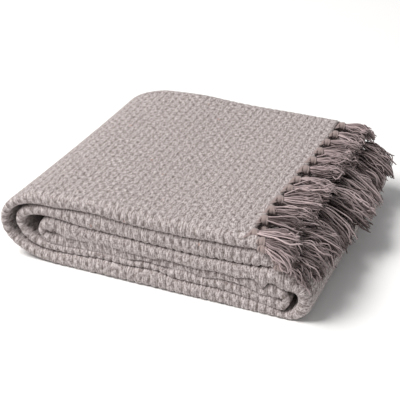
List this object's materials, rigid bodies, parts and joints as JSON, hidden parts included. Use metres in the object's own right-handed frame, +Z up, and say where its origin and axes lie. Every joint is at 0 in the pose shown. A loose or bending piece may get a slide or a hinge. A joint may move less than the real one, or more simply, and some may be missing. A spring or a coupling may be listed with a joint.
{
  "type": "folded bedspread",
  "caption": "Thick honeycomb-weave cotton bedspread with a knotted tassel fringe on both ends, folded into a flat rectangular pile for a shelf or the foot of a bed.",
  "frame": {"origin": "on the underside, in the middle of the flat face that the pile rests on", "axes": "+X along the pile to the side where both fringed ends hang, +Y from the pile's front, where the last lengthwise fold shows, to its back, +Z up"},
  "size_m": [0.4468, 0.3747, 0.1086],
  "materials": {
    "cloth": "thick honeycomb-weave cotton, taupe grey melange, matt",
    "fringe": "soft plied cotton yarn, taupe, matt"
  },
  "bodies": {
    "root": {"bedspread": "cloth", "fringe_top_upper": "fringe", "fringe_top_lower": "fringe", "fringe_under_upper": "fringe", "fringe_under_lower": "fringe"}
  },
  "joints": []
}
